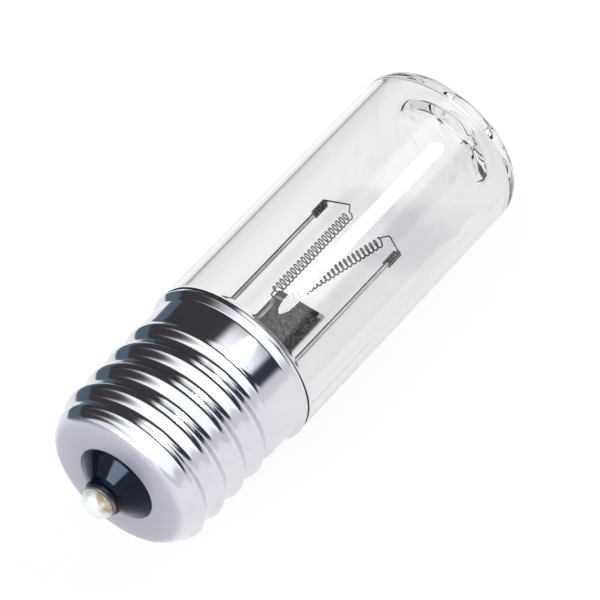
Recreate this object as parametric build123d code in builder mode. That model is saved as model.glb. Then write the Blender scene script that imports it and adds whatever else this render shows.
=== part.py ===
"""Germicidal ultraviolet bulb with an E17 screw base.

A clear glass tube holds a V-shaped filament, a getter strip and a bead of mercury. A pressed
metal shell with a rolled thread closes it below. Millimetres. The bulb lies along X: the origin
is on the axis at the shell's shoulder, the contact points to -X and the glass to +X.
"""
import os
from math import ceil, cos, radians, sin, tan

from build123d import *

os.makedirs("parts", exist_ok=True)

# Screw shell: one pressed sheet with a round E17 thread
sheet = 0.3
thread_crest_d = 16.5
thread_root_d = 15.27
thread_pitch = 2.822
thread_phase = -33.0          # degrees round +X from +Y where the crest crosses the shoulder plane
thread_land = 0.1             # plain stretch between the shoulder and the thread
thread_end = 11.7
thread_fade = 1.0             # length over which the thread rises and dies away
thread_sink = 0.075           # of the thread's end below the neck
thread_sections = 8           # discs in one pitch that the thread is drawn through
shoulder_d = 15.0
shoulder_fillet = 1.0
end_wall_slope = 3.0
end_hole_d = 7.8
neck_step = 0.4               # of the neck inside the glass
neck_length = 2.17
flare_angle = 30.0
flare_bend = 1.2
flare_straight = 0.45
rim_angle = -15.0             # the lip leans in again
rim_bend = 0.7
rim_straight = 0.25

# Insulator, contact and its solder
insulator_tip_d = 3.7
insulator_length = 2.1        # from the end hole to the tip
insulator_collar_d = 12.4     # inside the shell
insulator_top = 1.0
insulator_bore = 1.7
insulator_edge = 0.25
eyelet_d = 3.4
eyelet_plate = 0.3
eyelet_shank = 1.6
solder_d = 3.2
solder_height = 1.3
wire_in_solder = 0.45

# Glass envelope
glass_d = 17.0
glass_wall = 0.8
glass_length = 32.5           # from the ledge to the far end
ledge_above_rim = 0.05
ledge_width = 1.8
ledge_round = 0.4
ledge_inner_round = 0.35
ledge_wall = 0.4
glass_end_wall = 1.3
glass_end_round = 1.7
glass_inner_round = 0.5
glass_neck_gap = 0.635        # round the glass neck, inside the shell
glass_neck_wall = 0.9
glass_neck_corner = 0.3
glass_neck_length = 8.1
tip_base_d = 9.0
tip_d = 3.6
tip_height = 2.6
tip_slope_height = 1.2
tip_round = 1.2
tip_ring_d = 10.8             # foot of the ring round the tip's hollow, inside
tip_ring_top_d = 9.2
tip_ring_height = 0.45
tip_mouth_d = 8.0
tip_waist_d = 4.8
tip_waist_depth = 0.9
tip_hollow_d = 1.8
tip_hollow_depth = 2.2

# Stem, which closes the glass and holds the wires
stem_gap = 0.6                # round the stem tube, inside the glass neck
stem_wall = 0.6
flare_thickness = 0.7
flare_rise = 0.9
stem_tube_length = 3.5
pinch_taper = 2.2
pinch_height = 3.2
pinch_thickness = 2.8
pinch_round = 1.0

# Wires
lead_clear = 0.25             # of a lead's middle inside the stem tube
lead_d = 0.5
lead_in_pinch = 2.0
lead_length = 20.9            # of the left lead
right_drop = 0.8              # of the right lead's tip and coil, below the left ones
seal_wire_d = 0.4
outer_wire_d = 0.3
outer_wire_bend = 1.2
side_wire_bend = 0.6          # where the side wire turns out to the shell
outer_wire_clear = 0.05
support_y = 1.1
support_d = 0.4
support_length = 8.9
support_hook = 0.6
support_reach = 0.8           # of the hook's end, across the bend of the filament
support_bend = 0.4

# Getter strip, welded to the support wire
strip_left = 1.7
strip_inside_lead = 0.95      # of its right edge, from the middle of the lead
strip_thickness = 0.2
strip_above_pinch = 0.8
strip_length = 7.5
strip_corner = 0.2

# Filament
filament_wire_d = 0.15
filament_wire_sides = 6       # of the section that stands for the fine round wire
filament_lift = 0.75          # above the plane of the leads
coil_d = 1.05
coil_turns = 21
coil_above_hook = 0.5
coil_length = 11.0            # of the left coil
left_coil_y = 1.4
right_coil_foot_y = -0.15
right_coil_top_y = -2.75
bridge_lift = 0.15            # of the bridge between the coils, above the hook
tail_rise = 1.1
left_tail_y = 2.1
right_tail_y = -2.9
tail_lift = 0.6
tail_bend = 0.2
helix_lead = 0.3              # straight run out of a coil or a wrap
wrap_pitch = 0.3
wrap_turns = 6
wrap_clear = 0.02
wrap_below_tip = 0.15

# Small fillings
cement_above_thread = 0.3
cement_below_rim = 0.05
side_angle = -20.0            # degrees round +X from +Y, where the side wire meets the shell
side_above_thread = 1.1
side_wire_drop = 1.2          # of the wire's loop below the stem's flare
side_solder_round = 1.0
side_solder_height = 0.45
mercury_d = 0.4
mercury_above_ledge = 2.6

# Radii and stations worked out from the sizes above
crest_r = thread_crest_d / 2
thread_mean_r = (thread_crest_d + thread_root_d) / 4
thread_throw = (thread_crest_d - thread_root_d) / 4
shoulder_r = shoulder_d / 2
end_hole_r = end_hole_d / 2
neck_d = glass_d - 2 * neck_step
neck_r = neck_d / 2
wall_slope = tan(radians(end_wall_slope))
end_hole_x = -(shoulder_r - end_hole_r) * wall_slope
end_wall_x = sheet / cos(radians(end_wall_slope))
thread_start = shoulder_fillet * tan(radians(45 - end_wall_slope / 2)) + thread_land
thread_top = thread_end + thread_fade
neck_top = thread_top + neck_length
flare_rise_x = flare_bend * sin(radians(flare_angle))
rim_rise_x = rim_bend * (sin(radians(flare_angle)) - sin(radians(rim_angle)))
flare_run_x = flare_straight * cos(radians(flare_angle))
lip_x = rim_straight * cos(radians(rim_angle))
rim_x = neck_top + flare_rise_x + flare_run_x + rim_rise_x + lip_x
ledge_x = rim_x + ledge_above_rim
glass_r = glass_d / 2
glass_inner_r = glass_r - glass_wall
glass_end_x = ledge_x + glass_length
glass_floor_x = glass_end_x - glass_end_wall
tip_root_x = glass_end_x - glass_end_wall / 2
tip_ring_x = glass_floor_x - tip_ring_height
tip_hollow_x = glass_floor_x + tip_hollow_depth
glass_neck_d = min(glass_d - 2 * ledge_width, thread_root_d - 2 * (sheet + glass_neck_gap))
glass_neck_r = glass_neck_d / 2
glass_neck_inner_r = glass_neck_r - glass_neck_wall
glass_foot_x = ledge_x - glass_neck_length
stem_tube_d = glass_neck_d - 2 * (glass_neck_wall + stem_gap)
stem_r = stem_tube_d / 2
stem_foot_x = glass_foot_x - flare_thickness
stem_tube_x = glass_foot_x + stem_tube_length
pinch_x = stem_tube_x + pinch_taper
pinch_top_x = pinch_x + pinch_height
insulator_tip_x = end_hole_x - insulator_length
eyelet_x = insulator_tip_x - eyelet_plate
contact_x = eyelet_x - solder_height
outer_wire_bore = outer_wire_d + 2 * outer_wire_clear
lead_spread = stem_tube_d - 2 * (stem_wall + lead_clear)
lead_y = lead_spread / 2
strip_width = strip_left + lead_y - strip_inside_lead
lead_foot_x = pinch_top_x - lead_in_pinch
lead_tip_x = lead_foot_x + lead_length
hook_x = lead_foot_x + support_length
strip_foot_x = pinch_top_x + strip_above_pinch
coil_foot_x = hook_x + coil_above_hook
coil_top_x = coil_foot_x + coil_length
coil_mean_r = (coil_d - filament_wire_d) / 2
bridge_x = hook_x - (support_d + filament_wire_d) / 2 - wrap_clear
tail_x = coil_top_x + tail_rise
side_x = thread_top + side_above_thread
side_y, side_z = cos(radians(side_angle)), sin(radians(side_angle))
side_wire_r = (glass_neck_r + min(neck_d, thread_root_d) / 2 - sheet) / 2
side_wire_low = stem_foot_x - side_wire_drop
side_wire_end = neck_r + side_solder_height / 2


def across(x):
    """Plane square to the bulb's axis, with its own X along the bulb's Y."""
    return Plane(origin=(x, 0, 0), x_dir=(0, 1, 0), z_dir=(1, 0, 0))


def turned(points, rounds=()):
    """Solid turned about the axis from (station, radius) points, with some corners rounded."""
    with BuildPart() as solid:
        with BuildSketch() as outline:
            with BuildLine():
                Polyline(*points, close=True)
            make_face()
            for corner, radius in rounds:
                fillet(outline.vertices().sort_by_distance(corner)[0], radius)
        revolve(axis=Axis.X)
    return solid.part


def thread_core(inset):
    """Discs whose middle goes round the axis once a pitch: their joined sides are the thread."""
    low = end_hole_x - thread_pitch
    step = thread_pitch / thread_sections
    count = ceil((thread_top + thread_pitch - low) / step)
    with BuildPart() as core:
        for i in range(count + 1):
            x = low + i * step
            angle = radians(thread_phase + 360 * x / thread_pitch)
            with BuildSketch(across(x)):
                with Locations((thread_throw * cos(angle), thread_throw * sin(angle))):
                    Circle(thread_mean_r - inset)
        loft()
    return core.part


def thread_limits(inset):
    """Closed end, rounded shoulder and the slopes that let the thread rise and die away."""
    clear_r = crest_r + sheet
    wall_x = inset / cos(radians(end_wall_slope))
    corner = (wall_x - inset * wall_slope, shoulder_r - inset)
    points = [
        (end_hole_x + wall_x, 0),
        (end_hole_x + wall_x, end_hole_r),
        corner,
        (thread_start, shoulder_r - inset),
        (thread_start + thread_fade, clear_r - inset),
        (thread_end, clear_r - inset),
        (thread_top, neck_r - inset - thread_sink),
        (thread_top, 0),
    ]
    return turned(points, [(corner, shoulder_fillet - inset)])


def neck_and_rim(inset, beyond=0.0):
    """Cone out of the thread, plain neck, flare and the lip that leans in again."""
    with BuildPart() as neck:
        with BuildSketch():
            with BuildLine():
                start = Polyline(
                    (thread_end - thread_fade, 0),
                    (thread_end - thread_fade, thread_root_d / 2 - sheet - inset),
                    (thread_top, neck_r - inset),
                    (neck_top, neck_r - inset),
                )
                out = JernArc(start @ 1, (1, 0), flare_bend + inset, flare_angle)
                flare = Line(out @ 1, (out @ 1) + (out % 1) * flare_straight)
                back = JernArc(flare @ 1, flare % 1, rim_bend - inset, rim_angle - flare_angle)
                lip = Line(back @ 1, (back @ 1) + (back % 1) * (rim_straight + beyond))
                Polyline(lip @ 1, ((lip @ 1).X, 0), start @ 0)
            make_face()
        revolve(axis=Axis.X)
    return neck.part


def straight_wire(diameter, low, high, y):
    with BuildPart() as wire:
        with BuildSketch(across(low)):
            with Locations((y, 0)):
                Circle(diameter / 2)
        extrude(amount=high - low)
    return wire


def bent_wire(points, diameter, bend, sides=None):
    """Straight runs joined by tangent arcs, swept with a round section or one of flat sides."""
    with BuildPart() as wire:
        with BuildLine() as path:
            FilletPolyline(*points, radius=bend)
        with BuildSketch(Plane(path.line @ 0, z_dir=path.line % 0)):
            if sides:
                RegularPolygon(diameter / 2, sides)
            else:
                Circle(diameter / 2)
        sweep(path=path.line)
    return wire


def coil_path(foot, top, radius, turns, lefthand=False):
    axis = Vector(*top) - Vector(*foot)
    with BuildLine() as path:
        Helix(axis.length / turns, axis.length, radius, center=foot, direction=axis, lefthand=lefthand)
    return path.line


def before(path):
    """Point on the straight run into a helix."""
    return path @ 0 - (path % 0) * helix_lead


def beyond(path):
    """Point on the straight run out of a helix."""
    return path @ 1 + (path % 1) * helix_lead


def wound(path):
    """The filament's wire along one helix."""
    with BuildPart() as wire:
        with BuildSketch(Plane(path @ 0, z_dir=path % 0)):
            RegularPolygon(filament_wire_d / 2, filament_wire_sides)
        sweep(path=path, is_frenet=True)
    return wire


def between(points):
    """The filament's wire from one helix to the next."""
    return bent_wire(points, filament_wire_d, tail_bend, filament_wire_sides)


# Wires of the stem, first because other pieces take their holes from them
left_lead = straight_wire(lead_d, lead_foot_x, lead_tip_x, lead_y)
right_lead = straight_wire(lead_d, lead_foot_x, lead_tip_x - right_drop, -lead_y)
left_seal_wire = straight_wire(seal_wire_d, stem_tube_x, lead_foot_x, lead_y)
right_seal_wire = straight_wire(seal_wire_d, stem_tube_x, lead_foot_x, -lead_y)
centre_wire = bent_wire(
    [
        (stem_tube_x, -lead_y, 0),
        (stem_foot_x, -lead_y, 0),
        (insulator_top + outer_wire_bend, 0, 0),
        (eyelet_x - wire_in_solder, 0, 0),
    ],
    outer_wire_d,
    outer_wire_bend,
)
side_wire = bent_wire(
    [
        (stem_tube_x, lead_y, 0),
        (side_wire_low, lead_y, 0),
        (side_wire_low, side_wire_r * side_y, side_wire_r * side_z),
        (side_x, side_wire_r * side_y, side_wire_r * side_z),
        (side_x, side_wire_end * side_y, side_wire_end * side_z),
    ],
    outer_wire_d,
    [outer_wire_bend, outer_wire_bend, side_wire_bend],
)
support_wire = bent_wire(
    [
        (lead_foot_x, support_y, 0),
        (hook_x - support_hook, support_y, 0),
        (hook_x, support_y, filament_lift),
        (hook_x, support_y - support_reach, filament_lift),
    ],
    support_d,
    support_bend,
)

# Screw shell, open at the rim, with a hole for the insulator and one for the side wire
side_plane = Plane(origin=(side_x, 0, 0), x_dir=(1, 0, 0), z_dir=(0, side_y, side_z))
outer_form = (thread_core(0) & thread_limits(0)) + neck_and_rim(0)
inner_form = (thread_core(sheet) & thread_limits(sheet)) + neck_and_rim(sheet, beyond=sheet)
with BuildPart() as screw_shell:
    add(outer_form)
    add(inner_form, mode=Mode.SUBTRACT)
    with BuildSketch(across(end_hole_x)):
        Circle(end_hole_r)
    extrude(amount=end_wall_x, mode=Mode.SUBTRACT)
    with BuildSketch(side_plane):
        Circle(outer_wire_bore / 2)
    extrude(amount=glass_r, mode=Mode.SUBTRACT)

# Insulator: a cone outside, a collar that fills the end wall inside
with BuildPart() as insulator:
    collar_r = insulator_collar_d / 2
    seat_x = end_hole_x + end_wall_x
    tip = (insulator_tip_x, insulator_tip_d / 2)
    cone_points = [
        (insulator_tip_x, insulator_bore / 2),
        tip,
        (end_hole_x, end_hole_r),
        (seat_x, end_hole_r),
        (seat_x + (collar_r - end_hole_r) * wall_slope, collar_r),
        (insulator_top, collar_r),
        (insulator_top, insulator_bore / 2),
    ]
    add(turned(cone_points, [(tip, insulator_edge)]))

# Eyelet: a plate on the insulator's tip with a shank in its bore
with BuildPart() as contact_eyelet:
    with BuildSketch(across(eyelet_x)):
        Circle(eyelet_d / 2)
        Circle(outer_wire_bore / 2, mode=Mode.SUBTRACT)
    extrude(amount=eyelet_plate)
    with BuildSketch(across(insulator_tip_x)):
        Circle(insulator_bore / 2)
        Circle(outer_wire_bore / 2, mode=Mode.SUBTRACT)
    extrude(amount=eyelet_shank)

# Solder dome over the end of the centre wire
with BuildPart() as contact_solder:
    dome_r = ((solder_d / 2) ** 2 + solder_height**2) / (2 * solder_height)
    with Locations((contact_x + dome_r, 0, 0)):
        Sphere(dome_r)
    split(bisect_by=across(eyelet_x), keep=Keep.BOTTOM)
    add(centre_wire.part, mode=Mode.SUBTRACT)

# Glass envelope: drawn-in neck, ledge, tube, closed end and the sealed tip of the pump tube
ledge = (ledge_x, glass_r)
ledge_foot = (ledge_x, glass_neck_r)
far_corner = (glass_end_x, glass_r)
glass_outside = turned(
    [(glass_foot_x, 0), (glass_foot_x, glass_neck_r), ledge_foot, ledge, far_corner, (glass_end_x, 0)],
    [(ledge, ledge_round), (ledge_foot, glass_neck_corner), (far_corner, glass_end_round)],
)
with BuildPart() as glass_envelope:
    add(glass_outside)
    tip_corner = (glass_end_x + tip_height, tip_d / 2)
    tip_points = [
        (tip_root_x, 0),
        (tip_root_x, tip_base_d / 2),
        (glass_end_x, tip_base_d / 2),
        (glass_end_x + tip_slope_height, tip_d / 2),
        tip_corner,
        (glass_end_x + tip_height, 0),
    ]
    add(turned(tip_points, [(tip_corner, tip_round)]))
    inner_ledge = (ledge_x + ledge_wall, glass_inner_r)
    inner_ledge_foot = (ledge_x + ledge_wall, glass_neck_inner_r)
    inner_corner = (glass_floor_x, glass_inner_r)
    inside = turned(
        [
            (stem_foot_x, 0),
            (stem_foot_x, glass_neck_inner_r),
            inner_ledge_foot,
            inner_ledge,
            inner_corner,
            (glass_floor_x, tip_ring_d / 2),
            (tip_ring_x, tip_ring_top_d / 2),
            (tip_ring_x, tip_mouth_d / 2),
            (glass_floor_x + tip_waist_depth, tip_waist_d / 2),
            (tip_hollow_x, tip_hollow_d / 2),
            (tip_hollow_x, 0),
        ],
        [
            (inner_ledge, ledge_inner_round),
            (inner_ledge_foot, glass_neck_corner),
            (inner_corner, glass_inner_round),
        ],
    )
    add(inside, mode=Mode.SUBTRACT)

# Stem: flare sealed to the glass neck, tube, and the flat pinch round the wires
with BuildPart() as stem:
    stem_points = [
        (stem_foot_x, 0),
        (stem_foot_x, glass_neck_r),
        (glass_foot_x, glass_neck_r),
        (glass_foot_x, glass_neck_inner_r),
        (glass_foot_x + flare_rise, stem_r),
        (stem_tube_x, stem_r),
        (stem_tube_x, 0),
    ]
    add(turned(stem_points))
    with BuildSketch(across(stem_foot_x)):
        Circle(stem_r - stem_wall)
    extrude(amount=stem_tube_x - stem_foot_x, mode=Mode.SUBTRACT)
    with BuildSketch(across(stem_tube_x)):
        Circle(stem_r)
    with BuildSketch(across(pinch_x)) as pinch:
        RectangleRounded(stem_tube_d, pinch_thickness, pinch_round)
    loft()
    extrude(to_extrude=pinch.sketch, amount=pinch_height)
    for wire in (left_lead, right_lead, left_seal_wire, right_seal_wire, support_wire):
        add(wire.part, mode=Mode.SUBTRACT)

# Cement between the shell's neck and the glass
with BuildPart() as basing_cement:
    add(neck_and_rim(sheet))
    cement_foot_x = thread_top + cement_above_thread
    split(bisect_by=across(cement_foot_x), keep=Keep.TOP)
    split(bisect_by=across(rim_x - cement_below_rim), keep=Keep.BOTTOM)
    add(glass_outside, mode=Mode.SUBTRACT)
    add(side_wire.part, mode=Mode.SUBTRACT)

# Solder over the side wire's end, on the neck
with BuildPart() as side_solder:
    solder_seat = turned(
        [(thread_end, 0), (thread_end, neck_r), (rim_x, neck_r), (rim_x, 0)]
    )
    solder_centre_r = neck_r + side_solder_height - side_solder_round
    with Locations((side_x, solder_centre_r * side_y, solder_centre_r * side_z)):
        Sphere(side_solder_round)
    add(solder_seat, mode=Mode.SUBTRACT)
    add(side_wire.part, mode=Mode.SUBTRACT)

# Getter strip: a thin plate against the back of the support wire
with BuildPart() as getter_strip:
    with BuildSketch(Plane.XY.offset(-support_d / 2)):
        with Locations((strip_foot_x + strip_length / 2, strip_left - strip_width / 2)):
            RectangleRounded(strip_length, strip_width, strip_corner)
    extrude(amount=-strip_thickness)

# Filament: two coils, the bridge under the hook, two tails and their wraps round the lead tips
left_coil = coil_path(
    (coil_foot_x, left_coil_y, filament_lift),
    (coil_top_x, left_coil_y, filament_lift),
    coil_mean_r,
    coil_turns,
    lefthand=True,
)
right_coil = coil_path(
    (coil_foot_x, right_coil_foot_y, filament_lift),
    (coil_top_x - right_drop, right_coil_top_y, filament_lift),
    coil_mean_r,
    coil_turns,
    lefthand=True,
)
wrap_r = (lead_d + filament_wire_d) / 2 + wrap_clear
left_wrap_high = lead_tip_x - wrap_below_tip
right_wrap_high = left_wrap_high - right_drop
wrap_length = wrap_pitch * wrap_turns
left_wrap = coil_path(
    (left_wrap_high - wrap_length, lead_y, 0), (left_wrap_high, lead_y, 0), wrap_r, wrap_turns
)
right_wrap = coil_path(
    (right_wrap_high - wrap_length, -lead_y, 0),
    (right_wrap_high, -lead_y, 0),
    wrap_r,
    wrap_turns,
    lefthand=True,
)
left_tail = [beyond(left_coil), (tail_x, left_tail_y, tail_lift), beyond(left_wrap)]
right_tail = [beyond(right_coil), (tail_x - right_drop, right_tail_y, tail_lift), beyond(right_wrap)]
bridge = [
    before(left_coil),
    (bridge_x, left_coil_y, filament_lift + bridge_lift),
    (bridge_x, right_coil_foot_y, filament_lift + bridge_lift),
    before(right_coil),
]
with BuildPart() as filament:
    add(wound(left_wrap).part)
    add(between([left_wrap @ 1, *reversed(left_tail), left_coil @ 1]).part)
    add(wound(left_coil).part)
    add(between([left_coil @ 0, *bridge, right_coil @ 0]).part)
    add(wound(right_coil).part)
    add(between([right_coil @ 1, *right_tail, right_wrap @ 1]).part)
    add(wound(right_wrap).part)

# Mercury, lying on the glass inside
with BuildPart() as mercury_bead:
    with Locations((ledge_x + mercury_above_ledge, 0, mercury_d / 2 - glass_inner_r)):
        Sphere(mercury_d / 2)

pieces = {
    "screw_shell": screw_shell,
    "insulator": insulator,
    "contact_eyelet": contact_eyelet,
    "contact_solder": contact_solder,
    "glass_envelope": glass_envelope,
    "stem": stem,
    "left_lead_post": left_lead,
    "right_lead_post": right_lead,
    "left_seal_wire": left_seal_wire,
    "right_seal_wire": right_seal_wire,
    "centre_lead_wire": centre_wire,
    "side_lead_wire": side_wire,
    "side_solder": side_solder,
    "basing_cement": basing_cement,
    "support_wire": support_wire,
    "getter_strip": getter_strip,
    "filament": filament,
    "mercury_bead": mercury_bead,
}
for name, piece in pieces.items():
    piece.part.label = name
    export_step(piece.part, f"parts/{name}.step")
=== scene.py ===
# %% [markdown]
# # A small germicidal bulb
# The bulb is a clear tube on a bright screw base. Through the glass one sees two lead posts, a V of
# coiled wire and a dark getter strip. Its solids were made to size beforehand, so this file begins by
# loading them as a fixed frame. Everything below dresses that frame and never moves it.

# %% Load the frame
import math

import bmesh
import bpy
from mathutils import Matrix, Vector


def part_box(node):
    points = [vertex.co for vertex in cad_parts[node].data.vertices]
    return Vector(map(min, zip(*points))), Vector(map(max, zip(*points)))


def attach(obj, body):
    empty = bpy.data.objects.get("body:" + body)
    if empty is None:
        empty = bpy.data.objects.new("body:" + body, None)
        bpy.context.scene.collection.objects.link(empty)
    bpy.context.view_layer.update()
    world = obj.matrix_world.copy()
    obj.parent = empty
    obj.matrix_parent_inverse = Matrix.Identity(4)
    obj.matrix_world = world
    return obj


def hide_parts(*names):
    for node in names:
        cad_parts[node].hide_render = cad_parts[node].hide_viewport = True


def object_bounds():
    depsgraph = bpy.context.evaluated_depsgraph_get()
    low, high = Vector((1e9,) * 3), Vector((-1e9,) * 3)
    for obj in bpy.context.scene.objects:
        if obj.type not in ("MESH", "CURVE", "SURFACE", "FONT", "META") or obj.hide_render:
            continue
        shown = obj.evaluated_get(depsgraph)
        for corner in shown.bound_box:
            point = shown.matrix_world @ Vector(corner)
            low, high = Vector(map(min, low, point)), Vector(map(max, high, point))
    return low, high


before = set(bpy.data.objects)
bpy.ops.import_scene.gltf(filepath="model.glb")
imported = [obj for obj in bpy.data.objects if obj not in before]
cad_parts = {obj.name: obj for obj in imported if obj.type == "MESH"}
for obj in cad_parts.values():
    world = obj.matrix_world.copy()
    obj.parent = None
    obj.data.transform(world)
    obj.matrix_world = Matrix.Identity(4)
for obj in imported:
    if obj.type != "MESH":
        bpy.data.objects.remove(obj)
cad_low, cad_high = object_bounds()
mm = 0.001
print("solids:", len(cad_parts), "size in mm:", [round(side / mm, 2) for side in cad_high - cad_low])

# %% [markdown]
# ## The camera
# A product picture of something this small is taken from well back with a long lens, so that the near
# and the far end look almost equally wide. The camera stands behind the screw base, above it and to
# the right. A place given by two angles and a distance is easier to correct than three coordinates.

# %% Camera
camera_azimuth, camera_elevation = math.radians(-53.3), math.radians(51.4)
camera_distance = 510 * mm
camera_lens, camera_sensor = 341, 36
camera_aim = Vector((26.1, -0.48, -0.23)) * mm
camera_back = Vector((
    math.sin(camera_azimuth) * math.cos(camera_elevation),
    -math.cos(camera_azimuth) * math.cos(camera_elevation),
    math.sin(camera_elevation),
))
camera_data = bpy.data.cameras.new("camera")
camera_data.lens, camera_data.sensor_width = camera_lens, camera_sensor
camera = bpy.data.objects.new("camera", camera_data)
camera.location = camera_aim + camera_back * camera_distance
camera.rotation_euler = (-camera_back).to_track_quat("-Z", "Y").to_euler()
bpy.context.scene.collection.objects.link(camera)
bpy.context.scene.camera = camera
bpy.context.scene.view_settings.view_transform = "Standard"
print("camera at mm:", [round(v / mm, 1) for v in camera.location])

# %% [markdown]
# ## Shader sums
# A finish is a small graph of nodes. Written node by node it is long and hard to read, so one class
# wraps a socket: adding or multiplying two of them adds the Math node, and `node` adds any other kind.


# %% A socket that can be added and multiplied
class Shade:
    """One socket of a node tree. Sums on it become Math nodes, and node() adds any other node."""

    def __init__(self, tree, socket=None):
        self.tree, self.socket = tree, socket

    def node(self, kind, settings=None, values=None, out=0):
        """Adds a node: first its settings, then the values or links of its sockets."""
        made = self.tree.nodes.new(kind)
        for name, setting in (settings or {}).items():
            setattr(made, name, setting)
        for name, value in (values or {}).items():
            if isinstance(value, Shade):
                self.tree.links.new(value.socket, made.inputs[name])
            else:
                made.inputs[name].default_value = value
        return Shade(self.tree, made.outputs[out] if len(made.outputs) else None)

    def out(self, name):
        """Another output of the same node."""
        return Shade(self.tree, self.socket.node.outputs[name])

    def math(self, operation, *values):
        return self.node("ShaderNodeMath", {"operation": operation}, dict(enumerate(values)))

    def __add__(self, other):
        return self.math("ADD", self, other)

    def __radd__(self, other):
        return self.math("ADD", other, self)

    def __sub__(self, other):
        return self.math("SUBTRACT", self, other)

    def __rsub__(self, other):
        return self.math("SUBTRACT", other, self)

    def __mul__(self, other):
        return self.math("MULTIPLY", self, other)

    def __rmul__(self, other):
        return self.math("MULTIPLY", other, self)

    def __gt__(self, other):
        return self.math("GREATER_THAN", self, other)

    def __lt__(self, other):
        return self.math("LESS_THAN", self, other)

    def either(self, other):
        """The larger of two masks, which covers what either of them covers."""
        return self.math("MAXIMUM", self, other)

    def between(self, low, high):
        """0 at low, 1 at high, and a smooth step from one to the other. Low may be the larger."""
        values = {"Value": self, "From Min": low, "From Max": high}
        return self.node("ShaderNodeMapRange", {"interpolation_type": "SMOOTHSTEP"}, values)

    def mixed(self, first, second):
        """The first colour where this is 0, the second where it is 1."""
        # A Mix node has sockets for numbers and vectors too, so its colours go by their index.
        first_colour, second_colour, mixed_colour = 6, 7, 2
        values = {"Factor": self, first_colour: first, second_colour: second}
        return self.node("ShaderNodeMix", {"data_type": "RGBA"}, values, out=mixed_colour)


# %% Start a finish
def start_nodes(owner):
    """Empties the node tree of a material or a world."""
    owner.use_nodes = True
    owner.node_tree.nodes.clear()
    return Shade(owner.node_tree)


def new_finish(name):
    """A new material, and the start of its nodes."""
    material = bpy.data.materials.new(name)
    return material, start_nodes(material)


def place(shade, scale=(1, 1, 1)):
    """The point on the piece, in metres times scale, as a vector."""
    point = shade.node("ShaderNodeTexCoord", out="Object")
    return shade.node("ShaderNodeMapping", values={"Vector": point, "Scale": scale})


def parts_of(vector):
    """The X of a vector, whose node also gives Y and Z."""
    return vector.node("ShaderNodeSeparateXYZ", values={"Vector": vector}, out="X")


def noise(shade, scale, detail, stretch=(1, 1, 1), roughness=0.5):
    values = {"Vector": place(shade, stretch), "Scale": scale, "Detail": detail, "Roughness": roughness}
    return shade.node("ShaderNodeTexNoise", values=values)


def bump(shade, height, distance, strength):
    return shade.node("ShaderNodeBump", values={"Height": height, "Distance": distance, "Strength": strength})


def principled(shade, values):
    surface = shade.node("ShaderNodeBsdfPrincipled", values=values)
    shade.node("ShaderNodeOutputMaterial", values={"Surface": surface})


def grey(level):
    return (level, level, level, 1)


print("shader sums ready")

# %% [markdown]
# ## The studio
# Bright metal and clear glass look like whatever stands round them. Here that is a sheet of white
# paper in a dark room with a few white screens. They are why the plated base shows black on its left,
# white along its middle and pale grey low down, and why the glass has one thin dark line along its
# left wall: that line is the edge of the paper. The table is a large flat disc, so that no rim shows.

# %% Table
table_radius, table_sides = 6.0, 96
table_mesh = bmesh.new()
bmesh.ops.create_circle(table_mesh, cap_ends=True, segments=table_sides, radius=table_radius)
bmesh.ops.translate(table_mesh, verts=table_mesh.verts, vec=(0, 0, cad_low.z))
table_data = bpy.data.meshes.new("table")
table_mesh.to_mesh(table_data)
table_mesh.free()
table = bpy.data.objects.new("table", table_data)
bpy.context.scene.collection.objects.link(table)
print("table at mm:", round(cad_low.z / mm, 2))

# %% [markdown]
# Plain lit paper would come out grey, so most of its white is a glow, and a share of its light still
# comes from the lamps, which keeps the bulb's shadow. A Light Path node tells who is looking. The eye
# sees white all over. A mirror sees where the paper ends. Seen through the glass the paper also
# carries a painted soft grey shadow, which darkens its glow as the hollow bulb's shade would.

# %% White paper
paper_edge, edge_softness = 37 * mm, 2 * mm
eye_share, mirror_share, through_share = 0.94, 0.74, 0.55
lit_paper, shaded_paper = (0.86, 0.86, 0.87, 1), (0.69, 0.69, 0.73, 1)
beyond_mirrored, beyond_through = (0.11, 0.16, 0.20, 1), grey(0.35)
# Where the painted shadow lies on the paper, how far it reaches and how dark it gets.
shadow_x, shadow_y = 42.5 * mm, 0.3 * mm
shadow_x_scale, shadow_y_scale, shadow_reach = 180, 120, 1.6
shade_start, shade_full, shade_depth = 14 * mm, -3 * mm, 0.6
table_finish, paper = new_finish("white_paper")
seen = paper.node("ShaderNodeLightPath", out="Is Camera Ray")
mirrored, through = seen.out("Is Glossy Ray"), seen.out("Is Transmission Ray")
paper_x = parts_of(place(paper))
paper_y = paper_x.out("Y")
on_paper = paper_y.between(paper_edge + edge_softness, paper_edge - edge_softness)
# Painted shadow: a round grey patch under the tube's far end, plus soft_shade, a wider darkening towards -Y.
# Both show only through the glass.
off_x, off_y = (paper_x - shadow_x) * shadow_x_scale, (paper_y - shadow_y) * shadow_y_scale
painted_shadow = (off_x * off_x + off_y * off_y).between(shadow_reach, 0.0)
soft_shade = paper_y.between(shade_start, shade_full) * shade_depth
shaded = (through * soft_shade.either(painted_shadow)).mixed(grey(1.0), shaded_paper)
beyond = through.mixed(beyond_mirrored, beyond_through)
table_colour = seen.either(on_paper).mixed(beyond, shaded)
lit = paper.node("ShaderNodeBsdfDiffuse", values={"Color": lit_paper})
white = paper.node("ShaderNodeEmission", values={"Color": table_colour, "Strength": 1.0})
paper_share = (seen * eye_share + mirrored * (1 - on_paper * (1 - mirror_share))
               + through * (1 - on_paper * (1 - through_share)))
paper_mix = paper.node("ShaderNodeMixShader", values={0: paper_share, 1: lit, 2: white})
paper.node("ShaderNodeOutputMaterial", values={"Surface": paper_mix})
table_data.materials.append(table_finish)
print("paper ends at mm:", round(paper_edge / mm))

# %% [markdown]
# The room is a dome, so each direction gets one colour. A screen is a set of limits on the direction:
# ahead runs along the bulb, left across it and above upwards, and `between` makes each edge soft. One
# screen stands beyond the sealed end, one by the screw base, a dimmer wall behind that and a low wall
# on the right. Where none stands the room is nearly black. The thin dark lines in the thread are the
# gap between two screens, and a piece cut out low on the right gives them their heavier ends.

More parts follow.
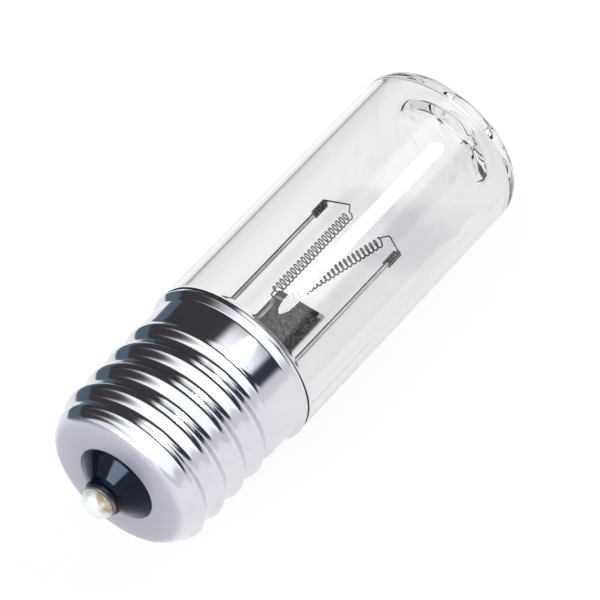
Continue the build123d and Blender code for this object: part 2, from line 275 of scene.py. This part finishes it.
# %% Room
screen_white, low_grey = (1.42, 1.46, 1.5, 1), (0.82, 0.82, 0.87, 1)
dark_left, dark_right = (0.056, 0.052, 0.058, 1), (0.030, 0.040, 0.064, 1)
back_wall_level = 0.7
room = bpy.data.worlds.new("room")
bpy.context.scene.world = room
air = start_nodes(room)
ahead = parts_of(air.node("ShaderNodeTexCoord", out="Generated"))
left, above = ahead.out("Y"), ahead.out("Z")
far_slant, near_slant = ahead * 0.17 - left * 0.61 - above * 0.03, left - ahead * 1.2
far_screen = far_slant.between(-0.06, 0.06) * ahead.between(0.34, 0.46)
near_screen = near_slant.between(1.20, 0.88) * ahead.between(-0.10, -0.26)
back_wall = ahead.between(-0.50, -0.66) * ahead.between(-0.96, -0.88) * back_wall_level
low_cut = (left.between(-0.38, -0.52) * above.between(0.60, 0.50) * above.between(0.12, 0.24)
           * ahead.between(-0.30, -0.15))
low_wall = left.between(-0.40, -0.55) * above.between(0.30, 0.18)
screen = (far_screen.either(near_screen).either(back_wall) * (1 - low_cut)).either(low_wall)
dome = left.between(0.2, -0.6).mixed(dark_left, dark_right)
low_part = left.between(-0.30, -0.50) * above.between(0.34, 0.18)
room_colour = screen.mixed(dome, low_part.mixed(screen_white, low_grey))
sky = air.node("ShaderNodeBackground", values={"Color": room_colour, "Strength": 1.0})
air.node("ShaderNodeOutputWorld", values={"Surface": sky})
print("room lit")


# %% [markdown]
# Lamps complete the light. A small bright softbox draws the white streak on the glass, and a round
# one at its near end gives the streak its point. Another, off the screw base's end, gives the black
# insulator its bluish glint. The broad one overhead only raises the level: it is hidden from mirrors,
# as a lamp behind a cloth would be. All of them are hidden from light bent through the glass, which
# would only scatter bright specks over the paper.


# %% Softboxes
def softbox(name, centre, long_side, size, radiance, colour, shape="RECTANGLE", mirrored=True):
    """A lamp of a given brightness at centre, facing the bulb, with its first side along long_side."""
    lamp = bpy.data.lights.new(name, "AREA")
    lamp.shape, lamp.size, lamp.size_y = shape, *size
    area = size[0] * size[1] * (math.pi / 4 if shape == "ELLIPSE" else 1)
    lamp.energy = radiance * math.pi * area
    lamp.color = colour
    away = (centre - camera_aim).normalized()
    across = away.cross(long_side).normalized()
    along = across.cross(away)
    turned = Matrix((along, across, away)).transposed().to_4x4()
    lamp_object = bpy.data.objects.new(name, lamp)
    lamp_object.matrix_world = Matrix.Translation(centre) @ turned
    lamp_object.visible_glossy, lamp_object.visible_transmission = mirrored, False
    bpy.context.scene.collection.objects.link(lamp_object)
    print(name, "W:", round(lamp.energy, 3))


streak_centre, streak_side = Vector((205.4, -131.1, 274.9)) * mm, Vector((-0.03, -0.867, -0.497))
streak_way = (streak_centre - camera_aim).cross(streak_side).normalized()
streak_width, streak_length, streak_point = 89 * mm, 78 * mm, 20 * mm
streak_radiance, streak_white = 19.0, (1.0, 1.0, 0.99)
softbox("streak_softbox", streak_centre + streak_way * streak_point / 4, streak_side,
        (streak_width, streak_length - streak_point / 2), streak_radiance, streak_white)
softbox("streak_end_softbox", streak_centre - streak_way * (streak_length - streak_point) / 2, streak_side,
        (streak_width, streak_point), streak_radiance, streak_white, shape="ELLIPSE")
softbox("glint_softbox", Vector((-330, 45, 118)) * mm, Vector((0, 1, 0)),
        (170 * mm, 100 * mm), 18.0, (0.84, 0.87, 1.0))
softbox("overhead_softbox", Vector((25, 150, 480)) * mm, Vector((1, 0, 0)),
        (400 * mm, 400 * mm), 1.8, (1.0, 1.0, 1.0), mirrored=False)

# %% [markdown]
# ## Turned pieces
# Shell, insulator, contact and glass are all round about one axis. Each starts as half an outline in
# the plane of the axis: a few corners, joined by edges, some of them rounded by a vertex bevel. One
# spin then makes the whole piece, which keeps its roundness exact and its faces in neat rings.

# %% Outline and spin helpers
round_step, fewest_steps = math.radians(9), 3
turn_steps = 144
weld_distance = 1e-4 * mm


def outline(corners, close=False):
    """Edges through corners of (station, radius, round) in mm. A round of 0 leaves a corner sharp."""
    shape = bmesh.new()
    points = [Vector((x, r)) for x, r, _ in corners]
    verts = [shape.verts.new((x * mm, 0, r * mm)) for x, r, _ in corners]
    for first, second in zip(verts, verts[1:] + verts[:1] if close else verts[1:]):
        shape.edges.new((first, second))
    for index, (_, _, radius) in enumerate(corners):
        if radius:
            before, after = points[index - 1], points[(index + 1) % len(points)]
            turn = (points[index] - before).angle(after - points[index])
            bmesh.ops.bevel(shape, geom=[verts[index]], offset=radius * mm * math.tan(turn / 2),
                            segments=max(fewest_steps, round(turn / round_step)), profile=0.5,
                            affect="VERTICES", material=-1)
    return shape


def spun(shape):
    """The outline turned once round the X axis."""
    bmesh.ops.spin(shape, geom=shape.verts[:] + shape.edges[:], cent=(0, 0, 0), axis=(1, 0, 0),
                   angle=math.tau, steps=turn_steps, use_merge=True)
    bmesh.ops.remove_doubles(shape, verts=shape.verts, dist=weld_distance)
    bmesh.ops.recalc_face_normals(shape, faces=shape.faces)
    return shape


def show(name, mesh, slot, finish, *nodes, sharp=35):
    """Puts a finished mesh in the scene, riding on the bulb and standing for the named solids."""
    if isinstance(mesh, bmesh.types.BMesh):
        data = bpy.data.meshes.new(name)
        mesh.to_mesh(data)
        mesh.free()
    else:
        data = mesh
    data.shade_smooth()
    data.set_sharp_from_angle(angle=math.radians(sharp))
    data.materials.clear()
    data.materials.append(finish)
    piece = bpy.data.objects.new(name, data)
    bpy.context.scene.collection.objects.link(piece)
    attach(piece, "root")
    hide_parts(*nodes)
    print(name, "faces:", len(data.polygons))


print("faces round a turned piece:", turn_steps)

# %% [markdown]
# ## The screw shell
# The base is one pressed sheet: a sloping end wall, a rolled thread, a plain neck and a flared lip.
# Spinning gives it plain sides. Along the thread the outline is first cut into short steps, because
# only a fine mesh can take the wave that comes next.

# %% Shell skin
shell_low, shell_high = (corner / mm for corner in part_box("screw_shell"))
end_hole_x, end_hole_r = shell_low.x, 3.9
shoulder_r, shoulder_run, neck_r = 7.05, 0.95, 8.1
thread_start, thread_end, thread_top = 0.75, 11.7, 12.7
thread_mean_r = 7.9425
rim_x, rim_r = shell_high.x, shell_high.z
flare_run, lip_run, lip_swell, lip_turn_in = 1.1, 0.5, 0.01, 0.12
thread_step, fine_lead = 0.11 * mm, 0.3
fine_start = thread_start - fine_lead
shell = outline([
    (end_hole_x, end_hole_r, 0),
    (0, shoulder_r, 1.2),
    (thread_start + shoulder_run, thread_mean_r, 3.0),
    (thread_end, thread_mean_r, 3.0),
    (thread_top, neck_r, 3.0),
    (rim_x - flare_run, neck_r, 0.4),
    (rim_x - lip_run, rim_r + lip_swell, 0.15),
    (rim_x, rim_r - lip_turn_in, 0),
])
thread_edges = [edge for edge in shell.edges if edge.calc_length() > 2 * thread_step
                and all(fine_start <= vertex.co.x / mm <= thread_top for vertex in edge.verts)]
for edge in thread_edges:
    bmesh.ops.subdivide_edges(shell, edges=[edge], cuts=round(edge.calc_length() / thread_step))
spun(shell)
print("shell skin:", len(shell.faces), "faces, rim mm:", round(rim_x, 2), round(rim_r, 2))

# %% [markdown]
# A thread could be swept along a helix, but a rolled round thread is simpler than that: a wave that
# goes once round the axis in each pitch. So every point moves in or out by a cosine of its own angle
# and station, and the wave fades at both ends. Only then does the skin get its thickness, and the
# two rims of the sheet get a small bevel.


# %% Press the thread and give the sheet its thickness
def smooth_step(value):
    value = min(max(value, 0), 1)
    return value * value * (3 - 2 * value)


thread_throw, thread_pitch, thread_phase = 0.3075, 2.822, math.radians(-33)
start_fade, top_fade = 1.3, 1.0
sheet, rim_round, fold_angle = 0.3, 0.13, math.radians(60)
for vertex in shell.verts:
    x = vertex.co.x / mm
    angle = math.atan2(vertex.co.z, vertex.co.y)
    fade = smooth_step((x - thread_start) / start_fade) * smooth_step((thread_top - x) / top_fade)
    wave = thread_throw * fade * math.cos(angle - thread_phase - math.tau * x / thread_pitch)
    radius = math.hypot(vertex.co.y, vertex.co.z)
    vertex.co.yz *= 1 + wave * mm / radius
bmesh.ops.recalc_face_normals(shell, faces=shell.faces)
bmesh.ops.solidify(shell, geom=shell.faces[:], thickness=sheet * mm)
folds = [edge for edge in shell.edges if edge.calc_face_angle(0) > fold_angle]
rims = [edge for edge in folds if not thread_start * mm < edge.verts[0].co.x < thread_top * mm]
print("shell:", len(rims), "rim edges,", len(folds) - len(rims), "folds in the thread")
bmesh.ops.bevel(shell, geom=rims, offset=rim_round * mm, segments=4, profile=0.5, affect="EDGES", material=-1)

# %% [markdown]
# Bright nickel is a mirror with a faint grey tone. What tells it from a perfect mirror are the fine
# rings left by the rolling, a slightly cloudy end wall and a few soft stains. The end wall is also
# painted darker than the rest of the plating: painted shade on the end face.

# %% Nickel finish
nickel, metal = new_finish("bright_nickel")
station = parts_of(place(metal))
wall_start, wall_full = 0.4 * mm, -0.2 * mm
cloud = noise(metal, 260, 3)
rings = noise(metal, 220, 2, (30, 1, 1))
end_wall = station.between(wall_start, wall_full)
nickel_colour = cloud.between(0.35, 0.75).mixed((0.71, 0.71, 0.745, 1), (0.65, 0.65, 0.70, 1))
principled(metal, {
    # Painted shade: the end wall's colour is darker than the plating's, on top of its duller, less metallic
    # finish.
    "Base Color": end_wall.mixed(nickel_colour, (0.34, 0.33, 0.375, 1)),
    "Metallic": 1.0 - end_wall * 0.45, "Roughness": 0.09 + cloud * 0.06 + end_wall * 0.30,
    "Normal": bump(metal, rings + cloud * 0.2, 0.006 * mm, 0.25),
})
show("screw_shell_skin", shell, "nickel_plate", nickel, "screw_shell")

# %% [markdown]
# ## Insulator and contact
# A cone of black glass fills the hole in the end wall and holds the centre contact. It was poured
# hot, so its edge is round and its surface glossy. It is turned too, with a short nipple on its tip.

# %% Insulator
tip_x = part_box("insulator")[0].x / mm
bore_r, nipple_r, nipple_foot_r, nipple_length = 0.85, 1.85, 1.95, 0.6
cone_edge_r, cone_edge_rise = 3.72, 0.12
inside_r, inside_gap, inside_end = 6.2, 0.43, 1.0
insulator = spun(outline([
    (tip_x, bore_r, 0),
    (tip_x, nipple_r, 0.25),
    (tip_x + nipple_length, nipple_foot_r, 0.7),
    (end_hole_x - cone_edge_rise, cone_edge_r, 0.4),
    (end_hole_x, end_hole_r, 0),
    (end_hole_x + sheet, end_hole_r, 0),
    (end_hole_x + inside_gap, inside_r, 0),
    (inside_end, inside_r, 0),
    (inside_end, bore_r, 0),
], close=True))
black_glass, pitch_black = new_finish("black_glass")
ripple = noise(pitch_black, 500, 2)
principled(pitch_black, {
    "Base Color": ripple.between(0.3, 0.8).mixed((0.002, 0.003, 0.007, 1), (0.004, 0.006, 0.013, 1)),
    "Roughness": 0.09 + ripple * 0.05,
    "IOR": 1.26, "Specular Tint": (0.70, 0.82, 1.0, 1),
    "Normal": bump(pitch_black, ripple, 0.02 * mm, 0.3),
})
show("insulator_cone", insulator, "black_glass", black_glass, "insulator")

# %% [markdown]
# On the nipple sits a brass eyelet, a flanged tube that the centre wire comes out of. Solder hides
# most of it, so a plain outline and a dull finish are enough.

# %% Contact eyelet
eyelet_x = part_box("contact_eyelet")[0].x / mm
eyelet_hole_r, flange_r, eyelet_tube_length = 0.2, 1.7, 1.6
eyelet = spun(outline([
    (eyelet_x, eyelet_hole_r, 0),
    (eyelet_x, flange_r, 0.12),
    (tip_x, flange_r, 0),
    (tip_x, bore_r, 0),
    (tip_x + eyelet_tube_length, bore_r, 0),
    (tip_x + eyelet_tube_length, eyelet_hole_r, 0),
], close=True))
brass, alloy = new_finish("dull_brass")
tarnish = noise(alloy, 900, 3)
principled(alloy, {
    "Base Color": tarnish.between(0.35, 0.7).mixed((0.26, 0.23, 0.19, 1), (0.12, 0.10, 0.08, 1)),
    "Metallic": 1.0, "Roughness": 0.28 + tarnish * 0.2,
})
show("contact_eyelet_ring", eyelet, "brass_plate", brass, "contact_eyelet")

# %% [markdown]
# A drop of soft solder covers the eyelet and makes the contact. It set as a dome with steep sides,
# which an outline gives better than a squashed ball. Burnt flux left a brown stain on its upper side.

# %% Contact solder
contact_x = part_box("contact_solder")[0].x / mm
drop_foot_r, drop_side_r, drop_side_height = 1.6, 1.52, 0.62
drop_crown_r, drop_crown_height = 0.85, 0.16
stain_start, stain_full = 1.0 * mm, 1.9 * mm
solder_drop = spun(outline([
    (eyelet_x, 0, 0),
    (eyelet_x, drop_foot_r, 0.1),
    (eyelet_x - drop_side_height, drop_side_r, 0.9),
    (contact_x + drop_crown_height, drop_crown_r, 0.5),
    (contact_x, 0, 0),
]))
solder, tin = new_finish("soft_solder")
grain = noise(tin, 1400, 4)
spot = parts_of(place(tin))
stain = (spot.out("Z") - spot.out("Y")).between(stain_start, stain_full)
flux = stain * grain.between(0.30, 0.60)
principled(tin, {
    "Base Color": flux.mixed((0.66, 0.70, 0.67, 1), (0.36, 0.25, 0.14, 1)),
    "Metallic": 0.50 - flux * 0.3, "Roughness": 0.30 + grain * 0.18,
    "Normal": bump(tin, grain, 0.02 * mm, 0.4),
})
show("contact_solder_drop", solder_drop, "solder", solder, "contact_solder")

# %% [markdown]
# ## The glass
# The envelope is a thin-walled tube, drawn in at its foot, rounded at its far end and closed there
# where the pump tube was melted off. Clear glass shows only by what it bends, so the inner outline has
# to be as true as the outer one: the thin dark line along the left is the paper's edge, bent by the
# wall. Inside the sealed tip the glass sagged while it was soft, and a few low waves leave it uneven.

# %% Glass outline
glass_low, glass_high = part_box("glass_envelope")
glass_foot, glass_top = glass_low.x / mm, glass_high.x / mm
glass_r, wall = glass_high.z / mm, 0.8
neck_outer, neck_inner = 6.7, 5.8
ledge_gap, ledge_wall = 0.05, 0.4
tip_height, tip_r, tip_rise, tip_foot_r = 2.6, 1.8, 1.2, 4.5
end_thickness = 1.3
ring_foot_r, ring_outer_r, ring_inner_r, ring_height = 5.4, 4.6, 4.0, 0.45
waist_r, waist_depth, hollow_r, hollow_depth = 2.4, 0.9, 0.9, 2.2
ledge_x, end_x = rim_x + ledge_gap, glass_top - tip_height
floor_x = end_x - end_thickness
glass = spun(outline([
    (glass_top, 0, 0),
    (glass_top, tip_r, 1.2),
    (end_x + tip_rise, tip_r, 0.6),
    (end_x, tip_foot_r, 1.0),
    (end_x, glass_r, 1.7),
    (ledge_x, glass_r, 0.15),
    (ledge_x, neck_outer, 0.3),
    (glass_foot, neck_outer, 0),
    (glass_foot, neck_inner, 0),
    (ledge_x + ledge_wall, neck_inner, 0.3),
    (ledge_x + ledge_wall, glass_r - wall, 0.35),
    (floor_x, glass_r - wall, 0.5),
    (floor_x, ring_foot_r, 0.6),
    (floor_x - ring_height, ring_outer_r, 0.6),
    (floor_x - ring_height, ring_inner_r, 0.5),
    (floor_x + waist_depth, waist_r, 0.8),
    (floor_x + hollow_depth, hollow_r, 0.8),
    (floor_x + hollow_depth, 0, 0),
]))
print("glass: tube mm", round(end_x - ledge_x, 2), "long,", round(2 * glass_r, 2), "wide")

# %% Uneven tip and clear finish
sag_low, sag_high, sag_r, sag_foot_r, sag_slope = -0.6, 2.3, 5.3, 5.2, 2.1
sag_waves, calm_r = ((0.06, 3, 0.8), (0.05, 5, 2.1)), 2.0
sagged = 0
for vertex in glass.verts:
    depth = vertex.co.x / mm - floor_x
    radius = math.hypot(vertex.co.y, vertex.co.z) / mm
    if sag_low < depth < sag_high and radius < min(sag_r, sag_foot_r - sag_slope * depth):
        angle = math.atan2(vertex.co.z, vertex.co.y)
        sag = sum(height * math.sin(count * angle + shift) for height, count, shift in sag_waves)
        vertex.co.x += sag * smooth_step(radius / calm_r) * mm
        sagged += 1
bmesh.ops.recalc_face_normals(glass, faces=glass.faces)
print("points of the melted tip moved:", sagged)
clear_glass, melt = new_finish("clear_glass")
principled(melt, {
    "Base Color": (0.99, 0.99, 0.987, 1), "Roughness": 0.0, "IOR": 1.47, "Transmission Weight": 1.0,
})
show("glass_tube", glass, "clear_glass", clear_glass, "glass_envelope", sharp=60)

# %% [markdown]
# The stem that closes the tube below stays as it was packed. Only its finish is new.


# %% Stem finish
def refinish(node, finish):
    """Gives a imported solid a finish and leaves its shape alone."""
    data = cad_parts[node].data
    data.materials.clear()
    data.materials.append(finish)
    print(node, "is now", finish.name)


refinish("stem", clear_glass)

# %% [markdown]
# ## Wires
# Lead posts, support and filament are wires of even thickness. A thin cylinder would do for a straight
# one, but not for a bend or a coil, so each is a curve with a round bevel, turned into a mesh.


# %% Wire helpers
def wire(name, points, diameter, sides=3):
    """A mesh of a round wire through points in mm."""
    path = bpy.data.curves.new(name + "_path", "CURVE")
    path.dimensions, path.bevel_depth = "3D", diameter / 2 * mm
    path.bevel_resolution, path.use_fill_caps = sides, True
    line = path.splines.new("POLY")
    line.points.add(len(points) - 1)
    for point, at in zip(line.points, points):
        point.co = (*(Vector(at) * mm), 1)
    holder = bpy.data.objects.new(name + "_path", path)
    mesh = bpy.data.meshes.new_from_object(holder)
    bpy.data.objects.remove(holder)
    bpy.data.curves.remove(path)
    mesh.name = name
    return mesh


def bent(points, radius, steps=6):
    """The points with each corner replaced by a short curve."""
    points = [Vector(point) for point in points]
    route = [points[0]]
    for before, corner, after in zip(points, points[1:], points[2:]):
        into, out = (before - corner).normalized(), (after - corner).normalized()
        reach = radius / math.tan(into.angle(out) / 2)
        start, end = corner + into * reach, corner + out * reach
        for step in range(steps + 1):
            t = step / steps
            route.append(start * (1 - t) ** 2 + corner * (2 * t * (1 - t)) + end * t ** 2)
    return route + [points[-1]]


print("wire helpers ready")

# %% [markdown]
# The two posts bring the current up, and the hook of the support holds the filament's bend. They are
# drawn wire, bright with faint marks along it.

# %% Lead posts and support
lead_low, lead_high = (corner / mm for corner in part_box("left_lead_post"))
lead_y, lead_d = (lead_low.y + lead_high.y) / 2, lead_high.z - lead_low.z
drawn_wire, steel = new_finish("drawn_wire")
scale_marks = noise(steel, 1200, 3, (0.2, 1, 1))
principled(steel, {
    "Base Color": scale_marks.between(0.3, 0.7).mixed((0.74, 0.74, 0.74, 1), (0.54, 0.54, 0.55, 1)),
    "Metallic": 1.0, "Roughness": 0.22 + scale_marks * 0.2,
})
left_tip, right_tip = lead_high.x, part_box("right_lead_post")[1].x / mm
for side, y, tip in (("left", lead_y, left_tip), ("right", -lead_y, right_tip)):
    post = wire(side + "_post", [(lead_low.x, y, 0), (tip, y, 0)], lead_d)
    show(side + "_post", post, "lead_metal", drawn_wire, side + "_lead_post", sharp=50)

support_low, support_high = (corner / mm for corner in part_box("support_wire"))
support_d, support_bend, hook_rise = 0.4, 0.4, 0.6
hook_x, hook_z = support_high.x - support_d / 2, support_high.z - support_d / 2
support_y = support_high.y - support_d / 2
support_route = bent([
    (support_low.x, support_y, 0), (hook_x - hook_rise, support_y, 0), (hook_x, support_y, hook_z),
    (hook_x, support_low.y, hook_z),
], support_bend)
support = wire("support_hook", support_route, support_d)
show("support_hook", support, "lead_metal", drawn_wire, "support_wire", sharp=50)

# %% [markdown]
# The filament is one wire from end to end: a wrap round the left post, a tail, a coil down, a short
# bridge under the hook, a coil up, a tail and a wrap round the right post. A Screw modifier could wind
# one coil, but joining its ends to the tails is awkward, so one list of points runs through them all.


# %% Filament route
def helix(foot, top, radius, turns, start, hand, steps=20):
    """Points round the line from foot to top. start is the angle from the vertical, in turns."""
    foot, top = Vector(foot), Vector(top)
    axis = (top - foot).normalized()
    level = axis.cross(Vector((0, 0, 1))).normalized()
    rise = level.cross(axis)
    points = []
    for step in range(round(turns * steps) + 1):
        share = step / (turns * steps)
        angle = math.tau * (start + hand * turns * share)
        points.append(foot.lerp(top, share) + radius * (math.cos(angle) * rise + math.sin(angle) * level))
    return points


filament_d, filament_bend = 0.15, 0.2
wrap_turns, wrap_pitch, wrap_below_tip, wrap_gap = 6, 0.3, 0.15, 0.02
wrap_r = (lead_d + filament_d) / 2 + wrap_gap


def wrap(y, tip, hand):
    """The turns of the filament's end round a lead post."""
    top = tip - wrap_below_tip
    return helix((top - wrap_pitch * wrap_turns, y, 0), (top, y, 0), wrap_r, wrap_turns, 0, hand)


coil_r, coil_turns, coil_z, right_start = 0.45, 21, 0.75, 0.75
coil_lift, coil_reach, bridge_drop, tail_rise = 0.5, 11.5, 0.3, 1.1
coil_foot, coil_top = hook_x + coil_lift, hook_x + coil_reach
left_y, right_foot_y, right_top_y = 1.4, -0.15, -2.75
right_drop = left_tip - right_tip
bridge_x, bridge_z = hook_x - bridge_drop, 0.9
tail_x, tail_z, left_tail_y, right_tail_y = coil_top + tail_rise, 0.6, 2.1, -2.9
left_wrap, right_wrap = wrap(lead_y, left_tip, 1), wrap(-lead_y, right_tip, -1)
left_coil = helix((coil_foot, left_y, coil_z), (coil_top, left_y, coil_z), coil_r, coil_turns, 0, -1)
right_coil = helix((coil_foot, right_foot_y, coil_z), (coil_top - right_drop, right_top_y, coil_z),
                   coil_r, coil_turns, right_start, -1)
left_tail = bent([left_wrap[-1], (tail_x, left_tail_y, tail_z), left_coil[-1]], filament_bend)
right_tail = bent([right_coil[-1], (tail_x - right_drop, right_tail_y, tail_z), right_wrap[-1]],
                  filament_bend)
bridge = bent([left_coil[0], (bridge_x, left_y, bridge_z), (bridge_x, right_foot_y, bridge_z), right_coil[0]],
              filament_bend)
filament_route = (
    left_wrap + left_tail[1:-1] + left_coil[::-1] + bridge[1:-1]
    + right_coil + right_tail[1:-1] + right_wrap[::-1]
)
print("filament points:", len(filament_route))

# %% Filament
tungsten, coil_metal = new_finish("tungsten")
crystals = noise(coil_metal, 4000, 2)
principled(coil_metal, {
    "Base Color": crystals.between(0.3, 0.7).mixed(grey(0.18), grey(0.08)),
    "Metallic": 1.0, "Roughness": 0.35 + crystals * 0.2,
})
filament = wire("filament_wire", filament_route, filament_d, sides=1)
show("filament_wire", filament, "tungsten", tungsten, "filament", sharp=70)

# %% [markdown]
# ## Getter strip
# A thin strip of metal carries a dark pressed powder that soaks up stray gas. Its surface is matt and
# full of short wavy streaks. The strip's right edge and upper corner are bare metal, and their shine
# is a painted highlight: a pale, mostly matt colour. The shape is a cube scaled to the solid's box,
# and masks on the place tell the bare, brightly painted metal from powder.

# %% Getter strip
strip_low, strip_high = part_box("getter_strip")
bare_sheen_length, bare_sheen_width, bare_sheen_edge = 0.55 * mm, 0.6 * mm, 0.1 * mm
band_width, strip_round = 0.65 * mm, 0.2 * mm
powder, dust = new_finish("getter_powder")
streaks = noise(dust, 7000, 4, (0.6, 1, 1), 0.75)
spot_x = parts_of(place(dust))
spot_y = spot_x.out("Y")
# Painted highlight: these masks mark the bare edge and corner, which get a pale matt colour below.
bare_sheen_corner = (spot_x > strip_high.x - bare_sheen_length) * (spot_y < strip_low.y + bare_sheen_width)
bare_and_sheen = bare_sheen_corner.either(spot_y < strip_low.y + bare_sheen_edge)
top_band = spot_x > strip_high.x - band_width
powder_colour = streaks.between(0.42, 0.60).mixed(grey(0.015), grey(0.26))
banded = (top_band * 0.7).mixed(powder_colour, grey(0.03))
principled(dust, {
    # Painted highlight: pale grey with little metal, where bare metal would shine.
    "Base Color": bare_and_sheen.mixed(banded, grey(0.70)),
    "Metallic": 0.25 - bare_and_sheen * 0.15, "Roughness": 0.6 - bare_and_sheen * 0.2,
    "Normal": bump(dust, streaks, 0.05 * mm, 0.9),
})
strip = bmesh.new()
bmesh.ops.create_cube(strip, size=1, matrix=Matrix.Translation((strip_low + strip_high) / 2)
                      @ Matrix.Diagonal((*(strip_high - strip_low), 1)))
upright = [edge for edge in strip.edges if abs(edge.verts[0].co.z - edge.verts[1].co.z) > weld_distance]
bmesh.ops.bevel(strip, geom=upright, offset=strip_round, segments=4, profile=0.5, affect="EDGES", material=-1)
show("getter_plate", strip, "getter_face", powder, "getter_strip")

# %% [markdown]
# ## Small things
# Seal wires, outer wires, cement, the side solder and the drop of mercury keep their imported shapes,
# because little of them can be seen. Each gets the finish of its own stuff.

# %% Finishes of the small solids
copper, red_metal = new_finish("bare_copper")
patina = noise(red_metal, 900, 3)
principled(red_metal, {
    "Base Color": patina.between(0.3, 0.7).mixed((0.72, 0.36, 0.20, 1), (0.48, 0.22, 0.12, 1)),
    "Metallic": 1.0, "Roughness": 0.25 + patina * 0.2,
})
cement, clay = new_finish("baked_cement")
grit = noise(clay, 1500, 4)
principled(clay, {
    "Base Color": grit.between(0.3, 0.7).mixed((0.80, 0.77, 0.70, 1), (0.66, 0.62, 0.54, 1)),
    "Roughness": 0.85, "Normal": bump(clay, grit, 0.03 * mm, 0.5),
})
quicksilver, bead = new_finish("mercury")
film = noise(bead, 2000, 2)
principled(bead, {"Base Color": (0.80, 0.80, 0.82, 1), "Metallic": 1.0, "Roughness": 0.03 + film * 0.04})
finishes = {
    "left_seal_wire": copper, "right_seal_wire": copper, "centre_lead_wire": copper, "side_lead_wire": copper,
    "basing_cement": cement, "side_solder": solder, "mercury_bead": quicksilver,
}
for node, finish in finishes.items():
    refinish(node, finish)
